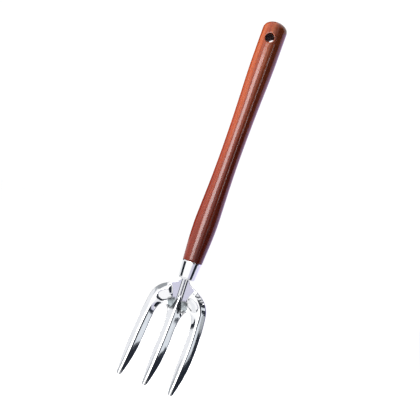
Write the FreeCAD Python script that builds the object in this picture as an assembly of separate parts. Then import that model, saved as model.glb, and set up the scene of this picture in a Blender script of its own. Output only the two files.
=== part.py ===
"""Three-tine hand fork: a pressed stainless head on a long turned wooden handle.

The tool hangs from the hole in its handle. The origin is the middle of that hole, +Z points up
the handle, the tines point down, and the front of the head faces -Y. All sizes are millimetres.
"""
import FreeCAD, Part
import math
import os

from FreeCAD import Vector

# Handle, measured down from its rounded top end
HANDLE_LENGTH = 305.0
HANDLE_TOP_RADIUS = 14.9
HANDLE_DOME_DEPTH = 10.8
HANDLE_CORNER_RADIUS = 9.0
HANDLE_STRAIGHT_END = 44.0
HANDLE_GRIP = [(44.0, 14.9), (70.0, 14.5), (100.0, 13.5), (133.0, 12.7), (168.0, 12.35),
               (203.0, 12.75), (235.0, 13.8), (257.0, 14.4), (276.0, 13.9), (292.0, 12.9),
               (305.0, 12.1)]

# Hang hole through the handle from front to back
HOLE_DEPTH = 23.5
HOLE_RADIUS = 5.5
HOLE_EDGE_RADIUS = 1.0

# Wooden spigot under the ferrule, and the bore for the tang
SPIGOT_LENGTH = 11.0
SPIGOT_GAP = 0.05
TANG_BORE_GAP = 0.05

# Ferrule: a drawn cup with its rounded bottom towards the head
FERRULE_LENGTH = 22.2
FERRULE_TOP_RADIUS = 11.9
FERRULE_BOTTOM_RADIUS = 10.0
FERRULE_EDGE_RADIUS = 2.4
FERRULE_WALL = 1.0
FERRULE_OPENING = 6.0

# Round tang, welded behind the neck of the head
TANG_RADIUS = 3.0
TANG_OFFSET = 2.0
TANG_ABOVE = 72.0
TANG_BELOW = 6.5
TANG_CHAMFER = 0.8

# Weld beads in the corners between the tang and the neck
WELD_HEIGHT = 3.0
WELD_TOP = -7.5
WELD_BOTTOM = 5.5
WELD_MARGIN = 0.3

# Fork head, one pressed sheet, measured down from the ferrule's lower edge
HEAD_LENGTH = 131.0
STOCK = 2.2
NECK_TOP = -8.5
NECK_HALF_WIDTH = 4.4
NECK_FRONT = -3.2
BACKSET = 1.2
CRANK_START = -1.0
CRANK_END = 28.0
CRANK_EASE = 1.5
SWEEP_RADIUS = 233.0

# Outline of one side of the head
OUTER_X = 41.3
TAPER_START = 86.5
TAPER_RADIUS = 195.0
TIP_RADIUS = 2.2
TINE_HALF_WIDTH = 7.9
SIDE_ARC = (355.0, 8.4)
SHOULDER_ARC = (30.0, 50.0)
CROWN_ARC = (90.0, 6.0)
CROWN_RUN = 6.4
NECK_ARC_RADIUS = 9.0
CROTCH_TOP = 37.2
CROTCH_END = 57.0
CROTCH_OUTER_X = 24.8
CROTCH_INNER_X = 7.7

# Pressed ridges along the tines, and the rib down the flat web of the neck
RIDGE_HEIGHT = 4.6
RIDGE_ROUND = 1.5
RIB_HEIGHT = 2.2
RIB_HALF_WIDTH = 3.0
RIB_ROUND = 1.7
RIB_RISE = (20.0, 34.0)
RIB_SPREAD = (25.0, 47.0)
VALLEY_BLEND = 0.45

# The line on which the outer ridges rise from the web, and how soon they are full height
RISE_START = (14.0, 10.0)
RISE_END = (6.0, 29.0)
RISE_LENGTH = 5.5

# Where the web between the ridges gives way to tines with sloping edges, and how much wider
# the outer ridges are towards the web
WEB_FADE = (36.0, 50.0)
INNER_SPREAD = 0.35
CREST_FADE = 3.0
CREST_OVERRUN = 4.0

# Net of the pressed surface
NET_STEP_X = 1.5
NET_STEP_T = 2.0
NET_MARGIN = 2.5
PRISM_DEPTH = 120.0

# How far cutting tools run past a piece, and how closely edges are matched when they are picked
OVERRUN = 1.0
EDGE_MATCH = 0.001
MOUTH_MATCH = 0.2

WOOD_TOP_Z = HOLE_DEPTH
WOOD_END_Z = HOLE_DEPTH - HANDLE_LENGTH
FERRULE_END_Z = WOOD_END_Z - FERRULE_LENGTH


def revolve(edges):
    """Turn a closed profile in the XZ plane about the handle's axis."""
    face = Part.Face(Part.Wire(edges))
    return face.revolve(Vector(0, 0, 0), Vector(0, 0, 1), 360)


def line(a, b):
    return Part.makeLine(Vector(*a), Vector(*b))


def polyline(points):
    return [line(a, b) for a, b in zip(points, points[1:])]


def cylinder(radius, z_low, z_high, y=0.0):
    return Part.makeCylinder(radius, z_high - z_low, Vector(0, y, z_low))


def ferrule_inner_radius(depth):
    """Radius inside the ferrule, at a depth below the end of the wood."""
    share = depth / FERRULE_LENGTH
    return FERRULE_TOP_RADIUS + (FERRULE_BOTTOM_RADIUS - FERRULE_TOP_RADIUS) * share - FERRULE_WALL


def dome_edges():
    """The rounded top end: a shallow crown on the axis and a tighter arc into the side."""
    corner_x = HANDLE_TOP_RADIUS - HANDLE_CORNER_RADIUS
    corner_z = WOOD_TOP_Z - HANDLE_DOME_DEPTH
    rise = HANDLE_DOME_DEPTH - HANDLE_CORNER_RADIUS
    crown_radius = (corner_x ** 2 + HANDLE_DOME_DEPTH ** 2 - HANDLE_CORNER_RADIUS ** 2) / (2 * rise)
    crown_z = WOOD_TOP_Z - crown_radius
    crown_angle = math.atan2(corner_x, corner_z - crown_z)

    def on_arc(x, z, radius, angle):
        return Vector(x + radius * math.sin(angle), 0, z + radius * math.cos(angle))

    joint = on_arc(0, crown_z, crown_radius, crown_angle)
    side_angle = math.pi / 2
    return [Part.Arc(Vector(0, 0, WOOD_TOP_Z), on_arc(0, crown_z, crown_radius, crown_angle / 2),
                     joint).toShape(),
            Part.Arc(joint, on_arc(corner_x, corner_z, HANDLE_CORNER_RADIUS,
                                   (crown_angle + side_angle) / 2),
                     on_arc(corner_x, corner_z, HANDLE_CORNER_RADIUS, side_angle)).toShape()]


def handle_profile():
    """Closed half section of the handle, with the spigot that enters the ferrule."""
    dome_z = WOOD_TOP_Z - HANDLE_DOME_DEPTH
    straight_z = WOOD_TOP_Z - HANDLE_STRAIGHT_END
    grip = Part.BSplineCurve()
    points = [Vector(radius, 0, WOOD_TOP_Z - depth) for depth, radius in HANDLE_GRIP]
    last_slope = points[-1] - points[-2]
    grip.interpolate(Points=points, InitialTangent=Vector(0, 0, -1),
                     FinalTangent=last_slope.normalize())
    end_radius = HANDLE_GRIP[-1][1]
    spigot_top = ferrule_inner_radius(0.0) - SPIGOT_GAP
    spigot_bottom = ferrule_inner_radius(SPIGOT_LENGTH) - SPIGOT_GAP
    side = line((HANDLE_TOP_RADIUS, 0, dome_z), (HANDLE_TOP_RADIUS, 0, straight_z))
    spigot = polyline([(end_radius, 0, WOOD_END_Z),
                       (spigot_top, 0, WOOD_END_Z),
                       (spigot_bottom, 0, WOOD_END_Z - SPIGOT_LENGTH),
                       (0, 0, WOOD_END_Z - SPIGOT_LENGTH),
                       (0, 0, WOOD_TOP_Z)])
    return dome_edges() + [side, grip.toShape()] + spigot


def round_hole_edges(body):
    """Soften both mouths of the hang hole."""
    edges = [edge for edge in body.Edges
             if abs(edge.BoundBox.ZLength - 2 * HOLE_RADIUS) < MOUTH_MATCH
             and edge.BoundBox.XLength < 2 * HOLE_RADIUS + MOUTH_MATCH
             and edge.BoundBox.YLength < HOLE_RADIUS
             and abs(edge.BoundBox.Center.z) < MOUTH_MATCH]
    return body.makeFillet(HOLE_EDGE_RADIUS, edges)


def handle():
    body = revolve(handle_profile())
    drill = 4 * HANDLE_TOP_RADIUS
    hole = Part.makeCylinder(HOLE_RADIUS, drill, Vector(0, -drill / 2, 0), Vector(0, 1, 0))
    body = round_hole_edges(body.cut(hole))
    bore = cylinder(TANG_RADIUS + TANG_BORE_GAP, WOOD_END_Z - SPIGOT_LENGTH - OVERRUN,
                    FERRULE_END_Z + TANG_ABOVE + TANG_BORE_GAP, TANG_OFFSET)
    return body.cut(bore)


def ferrule():
    """Tapered cup: open against the wood, turned in round the opening for the neck."""
    top, bottom = WOOD_END_Z, FERRULE_END_Z
    taper = math.atan((FERRULE_TOP_RADIUS - FERRULE_BOTTOM_RADIUS) / FERRULE_LENGTH)
    outer = Part.makeCone(FERRULE_BOTTOM_RADIUS, FERRULE_TOP_RADIUS, FERRULE_LENGTH,
                          Vector(0, 0, bottom))
    lower_edge = [edge for edge in outer.Edges
                  if edge.BoundBox.ZLength < EDGE_MATCH
                  and abs(edge.BoundBox.Center.z - bottom) < EDGE_MATCH]
    outer = outer.makeFillet(FERRULE_EDGE_RADIUS, lower_edge)
    floor_z = bottom + FERRULE_WALL
    inner_low = ferrule_inner_radius(FERRULE_LENGTH - FERRULE_WALL)
    inner = Part.makeCone(inner_low, ferrule_inner_radius(0.0), top - floor_z,
                          Vector(0, 0, floor_z))
    floor_edge = [edge for edge in inner.Edges
                  if edge.BoundBox.ZLength < EDGE_MATCH
                  and abs(edge.BoundBox.Center.z - floor_z) < EDGE_MATCH]
    inner = inner.makeFillet(FERRULE_EDGE_RADIUS - FERRULE_WALL * math.cos(taper), floor_edge)
    opening = cylinder(FERRULE_OPENING, bottom - OVERRUN, floor_z + OVERRUN)
    return outer.cut(inner).cut(opening)


def tang():
    low = FERRULE_END_Z - TANG_BELOW
    rod = cylinder(TANG_RADIUS, low, FERRULE_END_Z + TANG_ABOVE, TANG_OFFSET)
    ends = [edge for edge in rod.Edges if edge.BoundBox.ZLength < EDGE_MATCH]
    return rod.makeChamfer(TANG_CHAMFER, ends)


def tang_welds():
    """A triangular bead on each side of the tang, laid on the back of the neck."""
    neck_back = NECK_FRONT + STOCK
    low = FERRULE_END_Z - WELD_BOTTOM
    length = WELD_BOTTOM - WELD_TOP
    beads = []
    for side in (-1, 1):
        inner_x = side * TANG_RADIUS / 2
        toe_x = side * (NECK_HALF_WIDTH - WELD_MARGIN)
        throat_x = side * (TANG_RADIUS + WELD_MARGIN)
        corners = [(inner_x, neck_back), (toe_x, neck_back), (throat_x, neck_back + WELD_HEIGHT),
                   (inner_x, neck_back + WELD_HEIGHT)]
        corners.append(corners[0])
        outline = Part.Wire(polyline([(x, y, low) for x, y in corners]))
        bead = Part.Face(outline).extrude(Vector(0, 0, length))
        rod = cylinder(TANG_RADIUS, low - OVERRUN, low + length + OVERRUN, TANG_OFFSET)
        beads.append(max(bead.cut(rod).Solids, key=lambda solid: abs(solid.CenterOfMass.x)))
    return Part.makeCompound(beads)


def turn(point, heading, radius, angle_deg):
    """Follow an arc: heading is degrees from straight up, a positive angle turns inwards."""
    after = heading + angle_deg
    sign = 1 if angle_deg >= 0 else -1
    a, b = math.radians(heading), math.radians(after)
    x = point[0] - sign * radius * (math.cos(a) - math.cos(b))
    t = point[1] - sign * radius * (math.sin(b) - math.sin(a))
    return (x, t), after


def run(point, heading, length):
    angle = math.radians(heading)
    return point[0] - length * math.sin(angle), point[1] - length * math.cos(angle)


def shoulder_path(inset):
    """Points along the shoulder, from the side of the tine to the neck, moved in by inset."""
    steps = []
    point, heading = (OUTER_X - inset, TAPER_START), 0.0
    for radius, angle in (SIDE_ARC, SHOULDER_ARC, CROWN_ARC):
        middle, _ = turn(point, heading, radius - inset, angle / 2)
        end, after = turn(point, heading, radius - inset, angle)
        steps.append((point, middle, end))
        point, heading = end, after
    end = run(point, heading, CROWN_RUN)
    steps.append((point, None, end))
    return steps, end, heading


def place(x, t, y=0.0):
    return Vector(x, y, FERRULE_END_Z - t)


def path_edges(steps, side):
    edges = []
    for start, middle, end in steps:
        a, b = place(side * start[0], start[1]), place(side * end[0], end[1])
        if middle is None:
            edges.append(Part.makeLine(a, b))
        else:
            edges.append(Part.Arc(a, place(side * middle[0], middle[1]), b).toShape())
    return edges


def tine_edges(centre_x):
    """Both sides of a tine below the start of its taper, and its rounded tip."""
    arc_x = TINE_HALF_WIDTH - TAPER_RADIUS
    angle = math.atan2(HEAD_LENGTH - TIP_RADIUS - TAPER_START, -arc_x)

    def on_side(side, share):
        return place(centre_x + side * (arc_x + TAPER_RADIUS * math.cos(angle * share)),
                     TAPER_START + TAPER_RADIUS * math.sin(angle * share))

    left, right = ([on_side(side, share) for share in (0.0, 0.5, 1.0)] for side in (-1, 1))
    tip = place(centre_x, HEAD_LENGTH)
    return [Part.Arc(*left).toShape(),
            Part.Arc(left[-1], tip, right[-1]).toShape(),
            Part.Arc(*reversed(right)).toShape()]


def crotch_edges(side):
    """The pointed arch between the middle tine and an outer one, with the runs below it."""
    centre_x = (CROTCH_OUTER_X + CROTCH_INNER_X) / 2
    half = (CROTCH_OUTER_X - CROTCH_INNER_X) / 2
    centre = place(side * centre_x, CROTCH_END)
    arch = Part.Ellipse(place(side * centre_x, CROTCH_TOP),
                        place(side * (centre_x + half), CROTCH_END), centre)
    first, last = place(side * CROTCH_OUTER_X, CROTCH_END), place(side * CROTCH_INNER_X, CROTCH_END)
    a, b = arch.parameter(first), arch.parameter(last)
    a, b = min(a, b), max(a, b)
    top = arch.parameter(place(side * centre_x, CROTCH_TOP))
    if not a < top < b:
        a, b = b, a + 2 * math.pi
    outer_x = OUTER_X - 2 * TINE_HALF_WIDTH
    return [arch.toShape(a, b),
            Part.makeLine(first, place(side * outer_x, TAPER_START)),
            Part.makeLine(last, place(side * TINE_HALF_WIDTH, TAPER_START))]


def outline_face():
    steps, crown_end, heading = shoulder_path(0.0)
    edges = []
    for side in (-1, 1):
        edges += path_edges(steps, side)
        neck_end, _ = turn(crown_end, heading, NECK_ARC_RADIUS, -heading)
        neck_mid, _ = turn(crown_end, heading, NECK_ARC_RADIUS, -heading / 2)
        edges += path_edges([(crown_end, neck_mid, neck_end),
                             (neck_end, None, (neck_end[0], NECK_TOP))], side)
        edges += crotch_edges(side)
        edges += tine_edges(side * (OUTER_X - TINE_HALF_WIDTH))
    edges += tine_edges(0.0)
    edges.append(Part.makeLine(place(-neck_end[0], NECK_TOP), place(neck_end[0], NECK_TOP)))
    wire = Part.Wire(Part.sortEdges(edges)[0])
    return Part.Face(wire)


def smoothstep(value, low, high):
    share = min(max((value - low) / (high - low), 0.0), 1.0)
    return share * share * (3.0 - 2.0 * share)


def bend(t, start):
    """Distance run since a bend, with the bend itself eased."""
    past = t - start
    return 0.5 * (past + math.hypot(past, CRANK_EASE))


def side_profile(t):
    """Front of the sheet at its edges: the web slopes back, and the tines sweep forward."""
    slope = (BACKSET - NECK_FRONT) / (CRANK_END - CRANK_START)
    crank = NECK_FRONT + slope * (bend(t, CRANK_START) - bend(t, CRANK_END))
    drop = max(t - CRANK_END, 0.0)
    return crank - (SWEEP_RADIUS - math.sqrt(SWEEP_RADIUS ** 2 - drop ** 2))


def ridge(distance, height, half_width, rounding):
    """Height of a roof-shaped ridge with a rounded crest, at a distance from its crest line."""
    scale = height / (math.hypot(half_width, rounding) - rounding)
    return height - scale * (math.hypot(distance, rounding) - rounding)


def distance_to_segment(x, t, a, b):
    dx, dt = b[0] - a[0], b[1] - a[1]
    share = ((x - a[0]) * dx + (t - a[1]) * dt) / (dx * dx + dt * dt)
    share = min(max(share, 0.0), 1.0)
    return math.hypot(x - a[0] - share * dx, t - a[1] - share * dt)


def crest_points():
    """The crest line of an outer tine: up the tine, round the shoulder and into the neck."""
    crest_x = OUTER_X - TINE_HALF_WIDTH
    points = [(crest_x, HEAD_LENGTH + CREST_OVERRUN)]
    point, heading = (crest_x, TAPER_START), 0.0
    points.append(point)
    for radius, angle in (SIDE_ARC, SHOULDER_ARC, CROWN_ARC):
        count = max(4, int(angle / 2))
        for index in range(1, count + 1):
            points.append(turn(point, heading, radius - TINE_HALF_WIDTH, angle * index / count)[0])
        point, heading = turn(point, heading, radius - TINE_HALF_WIDTH, angle)
    points.append(run(point, heading, point[0] / math.sin(math.radians(heading))))
    return points


CREST = crest_points()


def crest_distance(x, t):
    """Distance from the nearer crest line, and 1 on its inner side or 0 on its outer side."""
    nearest, inner = math.inf, 0
    for a, b in zip(CREST, CREST[1:]):
        distance = distance_to_segment(x, t, a, b)
        if distance < nearest:
            nearest = distance
            inner = int((b[0] - a[0]) * (t - a[1]) < (b[1] - a[1]) * (x - a[0]))
    return nearest, inner


def soft_max(a, b):
    return 0.5 * (a + b + math.sqrt((a - b) ** 2 + 4 * VALLEY_BLEND ** 2)) - VALLEY_BLEND


def rise(x, t):
    """Share of its full height that an outer ridge has, from none where it leaves the web."""
    dx, dt = RISE_END[0] - RISE_START[0], RISE_END[1] - RISE_START[1]
    across = ((x - RISE_START[0]) * dt - (t - RISE_START[1]) * dx) / math.hypot(dx, dt)
    return smoothstep(across, 0.0, RISE_LENGTH)


def pressed_height(x, t):
    """How far the pressed ridges and the rib stand forward of the web and the tines' edges."""
    x = abs(x)
    spread = smoothstep(t, *RIB_SPREAD)
    rib = ridge(x, RIB_HEIGHT + (RIDGE_HEIGHT - RIB_HEIGHT) * smoothstep(t, *RIB_RISE),
                RIB_HALF_WIDTH + (TINE_HALF_WIDTH - RIB_HALF_WIDTH) * spread,
                RIB_ROUND + (RIDGE_ROUND - RIB_ROUND) * spread)
    distance, inner = crest_distance(x, t)
    inner_side = inner * (1 - smoothstep(t, *WEB_FADE))
    risen = rise(x, t)
    roll = ridge(distance * (1 - INNER_SPREAD * inner_side), RIDGE_HEIGHT * risen,
                 TINE_HALF_WIDTH, RIDGE_ROUND)
    pressed = soft_max(rib, roll)
    web = 1 - (1 - inner) * smoothstep(distance, 0.0, CREST_FADE) * risen
    web *= 1 - smoothstep(t, *WEB_FADE)
    return pressed + (soft_max(pressed, 0.0) - pressed) * web


def net_places(low, high, step):
    """Places of the control net along one direction, for which the surface is linear."""
    spans = int(math.ceil((high - low) / step))
    knots = [low] * 3 + [low + (high - low) * i / spans for i in range(spans + 1)] + [high] * 3
    return [sum(knots[i + 1:i + 4]) / 3 for i in range(spans + 3)], spans


def pressed_surface(offset):
    """Smooth surface of the pressed sheet, moved back by an offset."""
    xs, spans_x = net_places(-OUTER_X - NET_MARGIN, OUTER_X + NET_MARGIN, NET_STEP_X)
    ts, spans_t = net_places(NECK_TOP - NET_MARGIN, HEAD_LENGTH + NET_MARGIN, NET_STEP_T)
    poles = [[place(x, t, side_profile(t) - pressed_height(x, t) + offset) for t in ts] for x in xs]
    surface = Part.BSplineSurface()
    knots_x, knots_t = list(range(spans_x + 1)), list(range(spans_t + 1))
    surface.buildFromPolesMultsKnots(poles, [4] + [1] * (spans_x - 1) + [4],
                                     [4] + [1] * (spans_t - 1) + [4],
                                     knots_x, knots_t, False, False, 3, 3)
    return surface.toShape()


def fork_head():
    """The pressed sheet, cut to the outline of the neck, shoulders and tines."""
    front, back = pressed_surface(0.0), pressed_surface(STOCK)
    faces = [front, back]
    for near, far in zip(front.OuterWire.Edges, back.OuterWire.Edges):
        faces.append(Part.makeRuledSurface(near, far))
    shell = Part.makeShell(faces)
    shell.sewShape()
    slab = Part.makeSolid(Part.Shell(shell.Faces))
    outline = outline_face()
    outline.translate(Vector(0, -PRISM_DEPTH / 2, 0))
    prism = outline.extrude(Vector(0, PRISM_DEPTH, 0))
    head = slab.common(prism)
    return max(head.Solids, key=lambda solid: solid.Volume)


PARTS = {
    "handle": handle,
    "ferrule": ferrule,
    "fork_head": fork_head,
    "tang": tang,
    "tang_welds": tang_welds,
}


def main():
    os.makedirs("parts", exist_ok=True)
    for name, build in PARTS.items():
        shape = build()
        print(name, len(shape.Solids), shape.isValid(), round(shape.Volume, 1), shape.BoundBox)
        shape.exportStep("parts/" + name + ".step")


main()
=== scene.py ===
"""A long-handled three-tine hand fork, hanging in a plain pale studio.

The axes are the frame's. Shapes are worked out in millimetres and become metres in add_mesh.
Materials and the studio are in metres.
"""

import math

import bpy
import numpy as np
from mathutils import Matrix, Vector
from mathutils.geometry import delaunay_2d_cdt

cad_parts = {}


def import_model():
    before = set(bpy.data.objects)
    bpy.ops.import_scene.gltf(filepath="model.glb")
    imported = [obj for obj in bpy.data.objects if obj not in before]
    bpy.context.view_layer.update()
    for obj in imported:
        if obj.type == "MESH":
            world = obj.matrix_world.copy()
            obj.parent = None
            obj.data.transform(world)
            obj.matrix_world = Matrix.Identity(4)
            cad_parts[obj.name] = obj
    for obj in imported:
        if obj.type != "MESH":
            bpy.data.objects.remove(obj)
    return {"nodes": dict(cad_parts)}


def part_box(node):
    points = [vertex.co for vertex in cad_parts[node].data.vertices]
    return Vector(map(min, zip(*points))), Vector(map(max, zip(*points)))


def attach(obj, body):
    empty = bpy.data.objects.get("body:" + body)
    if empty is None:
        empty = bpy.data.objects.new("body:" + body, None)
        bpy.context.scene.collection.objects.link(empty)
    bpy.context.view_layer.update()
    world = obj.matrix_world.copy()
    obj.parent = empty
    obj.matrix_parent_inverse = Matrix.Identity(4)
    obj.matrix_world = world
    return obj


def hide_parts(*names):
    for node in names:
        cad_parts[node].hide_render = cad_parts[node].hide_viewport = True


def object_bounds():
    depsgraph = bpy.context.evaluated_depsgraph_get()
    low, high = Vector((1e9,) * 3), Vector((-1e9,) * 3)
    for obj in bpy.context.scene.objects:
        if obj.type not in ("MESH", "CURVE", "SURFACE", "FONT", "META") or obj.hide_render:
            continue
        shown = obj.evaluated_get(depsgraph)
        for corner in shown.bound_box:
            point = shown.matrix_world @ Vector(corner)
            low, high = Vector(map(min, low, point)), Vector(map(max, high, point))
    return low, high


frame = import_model()
CAD_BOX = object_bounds()
MM = 0.001

# Heights taken from the frame. The origin is the middle of the hang hole.
WOOD_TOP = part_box("handle")[1].z
FERRULE_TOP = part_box("ferrule")[1].z
FERRULE_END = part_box("ferrule")[0].z
TANG_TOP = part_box("tang")[1].z

# Handle: radii at depths below its top end, as in the CAD
HANDLE_RADIUS = 14.9
DOME_DEPTH = 10.8
CORNER_RADIUS = 9.0
STRAIGHT_END = 44.0
GRIP = [(44.0, 14.9), (70.0, 14.5), (100.0, 13.5), (133.0, 12.7), (168.0, 12.35),
        (203.0, 12.75), (235.0, 13.8), (257.0, 14.4), (276.0, 13.9), (292.0, 12.9),
        (305.0, 12.1)]
HANDLE_TOP = WOOD_TOP / MM
HANDLE_LENGTH = (WOOD_TOP - FERRULE_TOP) / MM
HOLE_RADIUS = 5.5
HOLE_MOUTH = 1.0
SPIGOT_LENGTH = 11.0
SPIGOT_GAP = 0.05
SPIGOT_CHAMFER = 0.3
BORE_RADIUS = 3.05
BORE_OFFSET = 2.0
BORE_GAP = 0.05

# Handle's end against the ferrule: steps in from its radius, at heights above the end
END_ROUND = [(0.07, 0.2), (0.25, 0.05), (0.5, 0.0)]
END_LENGTH = 0.5

# Ferrule
FERRULE_LENGTH = 22.2
FERRULE_TOP_RADIUS = 11.9
FERRULE_BOTTOM_RADIUS = 10.0
FERRULE_EDGE = 2.4
FERRULE_WALL = 1.0
FERRULE_OPENING = 6.0
FERRULE_LIP = 0.3

# Ferrule's profile: points in each part, degrees left out where an arc meets a straight part,
# where the walls stop, in edge radii above the end, and the rim's steps in and down from the top
OUTER_POINTS, INNER_POINTS = 14, 12
EDGE_STEPS, INNER_EDGE_STEPS, LIP_STEPS = 12, 6, 5
EDGE_GAP, LIP_GAP = 4, 5
OUTER_STOP, INNER_STOP = 0.95, 1.2
RIM_DROP = 0.25
RIM = [(0.35, 0.0), (0.1, 0.07)]

# Head: side view, measured down from the ferrule's lower edge
HEAD_LENGTH = 131.0
STOCK = 2.2
NECK_TOP = -8.5
NECK_FRONT = -3.2
BACKSET = 1.2
CRANK_START, CRANK_END, CRANK_EASE = -1.0, 28.0, 1.5
SWEEP_RADIUS = 233.0

# Head: outline of one side
OUTER_X = 41.3
TAPER_START = 86.5
TAPER_RADIUS = 195.0
TIP_RADIUS = 2.2
TINE_HALF = 7.9
SHOULDER_ARCS = [(355.0, 8.4), (30.0, 50.0), (90.0, 6.0)]
CROWN_RUN = 6.4
NECK_ARC = 9.0
CROTCH_TOP, CROTCH_END = 37.2, 57.0
CROTCH_OUTER, CROTCH_INNER = 24.8, 7.7

# Head: the pressed ridges and rib, and where each grows and fades
RIDGE_HEIGHT, RIDGE_ROUND = 4.6, 1.5
RIB_HEIGHT, RIB_HALF, RIB_ROUND = 2.2, 3.0, 1.7
RIB_RISE, RIB_SPREAD = (20.0, 34.0), (25.0, 47.0)
VALLEY = 0.45
RISE_START, RISE_END, RISE_LENGTH = (14.0, 10.0), (6.0, 29.0), 5.5
WEB_FADE = (36.0, 50.0)
CREST_FADE = 3.0
INNER_SPREAD = 0.35
CREST_OVERRUN = 4.0
RIM_ROUND = 0.55

# Pressing eases the sheet: distances that are averaged, and the weight of each
EASING = [(-0.7, 0.25), (0.0, 0.5), (0.7, 0.25)]

# Head: the hollows beside the rib, where the steel is rougher and has a painted dark reflection
HOLLOW_X, HOLLOW_DEPTH, HOLLOW_SIZE = 7.0, 33.0, 10.0

# Fineness of the head's mesh
POINT_STEP = 0.8
ROW_STEP = POINT_STEP * 0.87
OUTLINE_STEP = POINT_STEP * 0.7
RIM_CLEARANCE = POINT_STEP * 0.45
NECK_FINENESS = 0.6
CROTCH_RUN = 24.0
CREST_STEP = 1.0
SLOPE_STEP = 0.05
TIP_STEPS = 7
RIM_STEPS = 6
TINY = 1e-12
MERGE_DISTANCE = 1e-7

# Fineness of the handle's and ferrule's meshes. A patch of the handle's grid, PATCH sides each way
# from the hole's middle, makes room for each mouth of the hang hole.
SIDES = 160
PATCH = 13
PATCH_MARGIN = 0.4
PATCH_STEPS = 7
PATCH_EASE = 1.3
MOUTH_STEPS = 7
MOUTH_REACH = 1.3 * HOLE_MOUTH
WALL_SHARES = (0.25, 0.5, 0.75)
DOME_STEPS = 24
RING_GAP = 0.3
RING_STEP = 2.0
ANGLES = [2 * math.pi * i / SIDES for i in range(SIDES)]


# ---------------------------------------------------------------- mesh helpers

def add_mesh(name, verts_mm, faces, replaced, normals=None):
    """A smooth mesh piece from points in millimetres, standing for a CAD node."""
    verts = np.asarray(verts_mm, dtype=float) * MM
    mesh = bpy.data.meshes.new(name)
    mesh.from_pydata([tuple(v) for v in verts], [], [tuple(f) for f in faces])
    mesh.validate()
    for polygon in mesh.polygons:
        polygon.use_smooth = True
    if normals is not None:
        mesh.normals_split_custom_set_from_vertices([tuple(n) for n in normals])
    piece = bpy.data.objects.new(name, mesh)
    bpy.context.collection.objects.link(piece)
    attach(piece, "root")
    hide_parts(replaced)
    return piece


def ring_faces(first, second, flip=False):
    """Quads between two equal closed rings of vertex numbers."""
    count = len(first)
    quads = [(first[i], first[(i + 1) % count], second[(i + 1) % count], second[i])
             for i in range(count)]
    return [quad[::-1] for quad in quads] if flip else quads


def between(a, b, share):
    """The point at a share of the way from a to b."""
    return tuple(p + (q - p) * share for p, q in zip(a, b))


def unit(vectors):
    return vectors / np.linalg.norm(vectors, axis=1)[:, None]


def smoothstep(value, low, high):
    share = np.clip((value - low) / (high - low), 0.0, 1.0)
    return share * share * (3.0 - 2.0 * share)


# ---------------------------------------------------------------- fork head: outline

def turn(point, heading, radius, angle):
    """Follow an arc. Heading is degrees from straight up, and a positive angle turns inwards."""
    sign = 1 if angle >= 0 else -1
    a, b = math.radians(heading), math.radians(heading + angle)
    return (point[0] - sign * radius * (math.cos(a) - math.cos(b)),
            point[1] - sign * radius * (math.sin(b) - math.sin(a)))


def run(point, heading, length):
    """Go straight on for a length."""
    angle = math.radians(heading)
    return point[0] - length * math.sin(angle), point[1] - length * math.cos(angle)


def arc_points(point, heading, radius, angle, step):
    """Points along an arc, without its first, and the heading at its end."""
    count = max(3, int(math.radians(abs(angle)) * radius / step))
    points = [turn(point, heading, radius, angle * i / count) for i in range(1, count + 1)]
    return points, heading + angle


def line_points(a, b, step):
    """Points along a line, without its first."""
    count = max(1, int(math.dist(a, b) / step))
    return [between(a, b, i / count) for i in range(1, count + 1)]


def tine_side(step):
    """One side of a tine below the start of its taper, out from its centreline, to the tip."""
    arc_x = TINE_HALF - TAPER_RADIUS
    angle = math.atan2(HEAD_LENGTH - TIP_RADIUS - TAPER_START, -arc_x)
    count = int(angle * TAPER_RADIUS / step)
    side = [(arc_x + TAPER_RADIUS * math.cos(angle * i / count),
             TAPER_START + TAPER_RADIUS * math.sin(angle * i / count)) for i in range(count + 1)]
    end_x, end_t = side[-1]
    depth = HEAD_LENGTH - end_t
    radius = (end_x ** 2 + depth ** 2) / (2 * depth)
    sweep = math.asin(min(1.0, end_x / radius))
    for i in range(1, TIP_STEPS + 1):
        left = sweep * (1 - i / TIP_STEPS)
        side.append((radius * math.sin(left), HEAD_LENGTH - radius + radius * math.cos(left)))
    return side


def shoulder_side(step):
    """The right side, from the neck's top out over the shoulder to the start of the taper."""
    side, heading = [(OUTER_X, TAPER_START)], 0.0
    for radius, angle in SHOULDER_ARCS:
        points, heading = arc_points(side[-1], heading, radius, angle, step)
        side += points
    side += line_points(side[-1], run(side[-1], heading, CROWN_RUN), step)
    points, heading = arc_points(side[-1], heading, NECK_ARC, -heading, step * NECK_FINENESS)
    side += points
    side += line_points(side[-1], (side[-1][0], NECK_TOP), step)
    return side[::-1]


def crotch(step):
    """The rounded top of the gap between the right tine and the middle one."""
    centre = (CROTCH_OUTER + CROTCH_INNER) / 2
    half, height = (CROTCH_OUTER - CROTCH_INNER) / 2, CROTCH_END - CROTCH_TOP
    count = int(CROTCH_RUN / step)
    return [(centre + half * math.cos(math.pi * i / count),
             CROTCH_END - height * math.sin(math.pi * i / count)) for i in range(count + 1)]


def outline(step):
    """The head's outline as points (x, depth), clockwise from the right of the neck's top."""
    outer_x = OUTER_X - TINE_HALF
    tine, gap = tine_side(step), crotch(step)
    half = shoulder_side(step)
    half += [(outer_x + x, t) for x, t in tine[1:]]
    half += [(outer_x - x, t) for x, t in reversed(tine[:-1])]
    half += line_points(half[-1], gap[0], step)[:-1] + gap
    half += line_points(half[-1], (TINE_HALF, TAPER_START), step)
    half += tine[1:]
    return np.array(half + [(-x, t) for x, t in reversed(half[:-1])])


def signed_area(loop):
    """Twice the area inside a closed outline, negative when it runs the other way."""
    after = np.roll(loop, -1, axis=0)
    return np.sum(loop[:, 0] * after[:, 1] - loop[:, 1] * after[:, 0])


def outward(loop):
    """Outward unit normals of a closed outline."""
    step = np.roll(loop, -1, axis=0) - np.roll(loop, 1, axis=0)
    normal = unit(np.stack([step[:, 1], -step[:, 0]], axis=1))
    return normal if signed_area(loop) > 0 else -normal


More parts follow.
